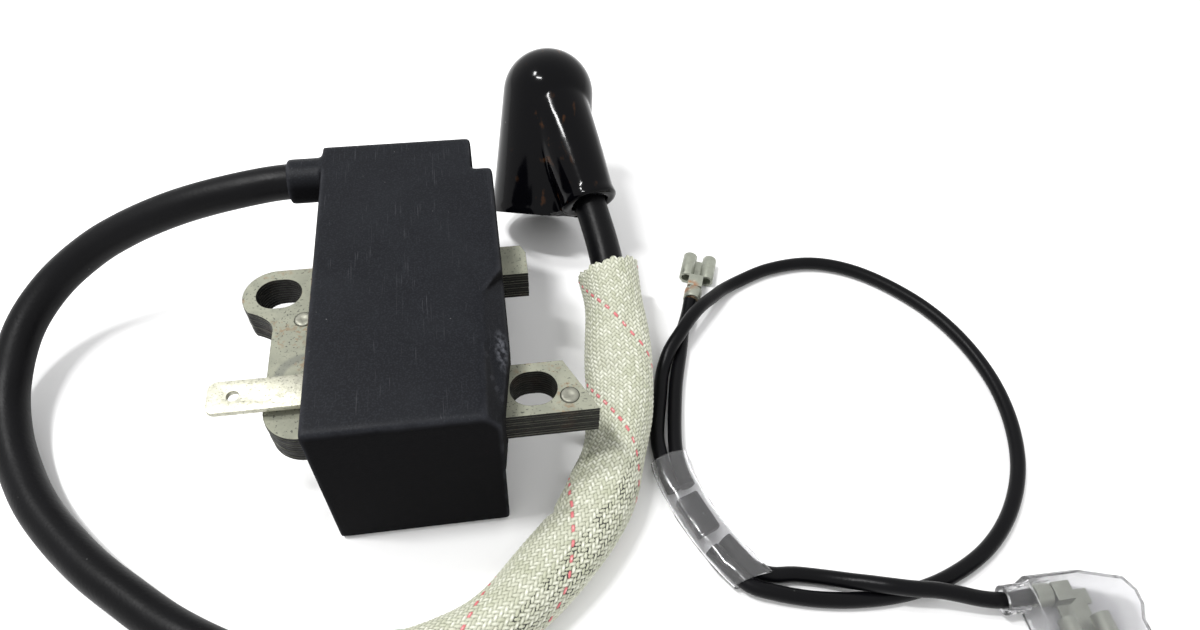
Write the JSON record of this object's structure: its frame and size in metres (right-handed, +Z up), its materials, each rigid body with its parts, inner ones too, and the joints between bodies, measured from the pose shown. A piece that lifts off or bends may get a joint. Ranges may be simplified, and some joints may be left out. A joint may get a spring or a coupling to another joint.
{
  "type": "ignition coil",
  "caption": "Potted small-engine ignition coil on a U-shaped laminated core, with a sleeved high-tension lead, an angled plug boot and a separate stop-switch lead.",
  "frame": {"origin": "centre of the bottom of the coil without its leads, on the surface it lies on", "axes": "+X from the open side of the case towards the pole faces, +Y along the case towards the HT lead outlet, +Z up"},
  "size_m": [0.1563, 0.1148, 0.0294],
  "materials": {
    "case_plastic": "fine moulded grain",
    "potting_resin": "poured and cured",
    "core_steel": "varnished laminations",
    "rivet_steel": "peened",
    "tinned_metal": "tin plated",
    "bobbin_plastic": "moulded",
    "copper_wire": "enamelled winding",
    "brass": "bright",
    "board_green": "solder mask",
    "component_black": "moulded",
    "component_beige": "lacquered",
    "ht_lead_rubber": "semi-matte",
    "glass_braid": "woven glass sleeve",
    "boot_rubber": "glossy",
    "wire_insulation": "extruded",
    "clear_plastic": "milky clear"
  },
  "bodies": {
    "module": {"case_shell": "case_plastic", "potting_resin": "potting_resin", "laminated_core": "core_steel", "pole_rivet": "rivet_steel", "ear_rivet": "rivet_steel", "leg_rivet": "rivet_steel", "stop_switch_tab": "tinned_metal", "primary_bobbin": "bobbin_plastic", "primary_winding": "copper_wire", "secondary_bobbin": "bobbin_plastic", "secondary_winding_1": "copper_wire", "secondary_winding_2": "copper_wire", "secondary_winding_3": "copper_wire", "secondary_winding_4": "copper_wire", "ht_contact_pin": "brass", "circuit_board": "board_green", "trigger_thyristor": "component_black", "switching_transistor": "component_black", "diode": "component_black", "resistor": "component_beige", "earth_strap": "tinned_metal", "ht_lead": "ht_lead_rubber", "glass_sleeve": "glass_braid"},
    "plug_boot": {"plug_boot": "boot_rubber", "spring_terminal": "tinned_metal"},
    "stop_lead": {"stop_wire_tail": "wire_insulation", "stop_wire_loop": "wire_insulation", "stop_wire_end": "wire_insulation", "splice_crimp": "tinned_metal", "splice_sleeve": "clear_plastic", "tab_receptacle": "tinned_metal", "flag_terminal": "tinned_metal", "flag_cover": "clear_plastic"}
  },
  "joints": [
    {"name": "boot_swivel", "type": "hinge", "parent": "module", "child": "plug_boot", "pos_m": [0.02975, 0.0227, 0.0138], "axis": [-0.2079, 0.8912, 0.4032], "range_deg": [0, 28]},
    {"name": "stop_lead_lift", "type": "slide", "parent": "module", "child": "stop_lead", "axis": [0, 0, 1], "range_m": [0, 0.04]}
  ]
}
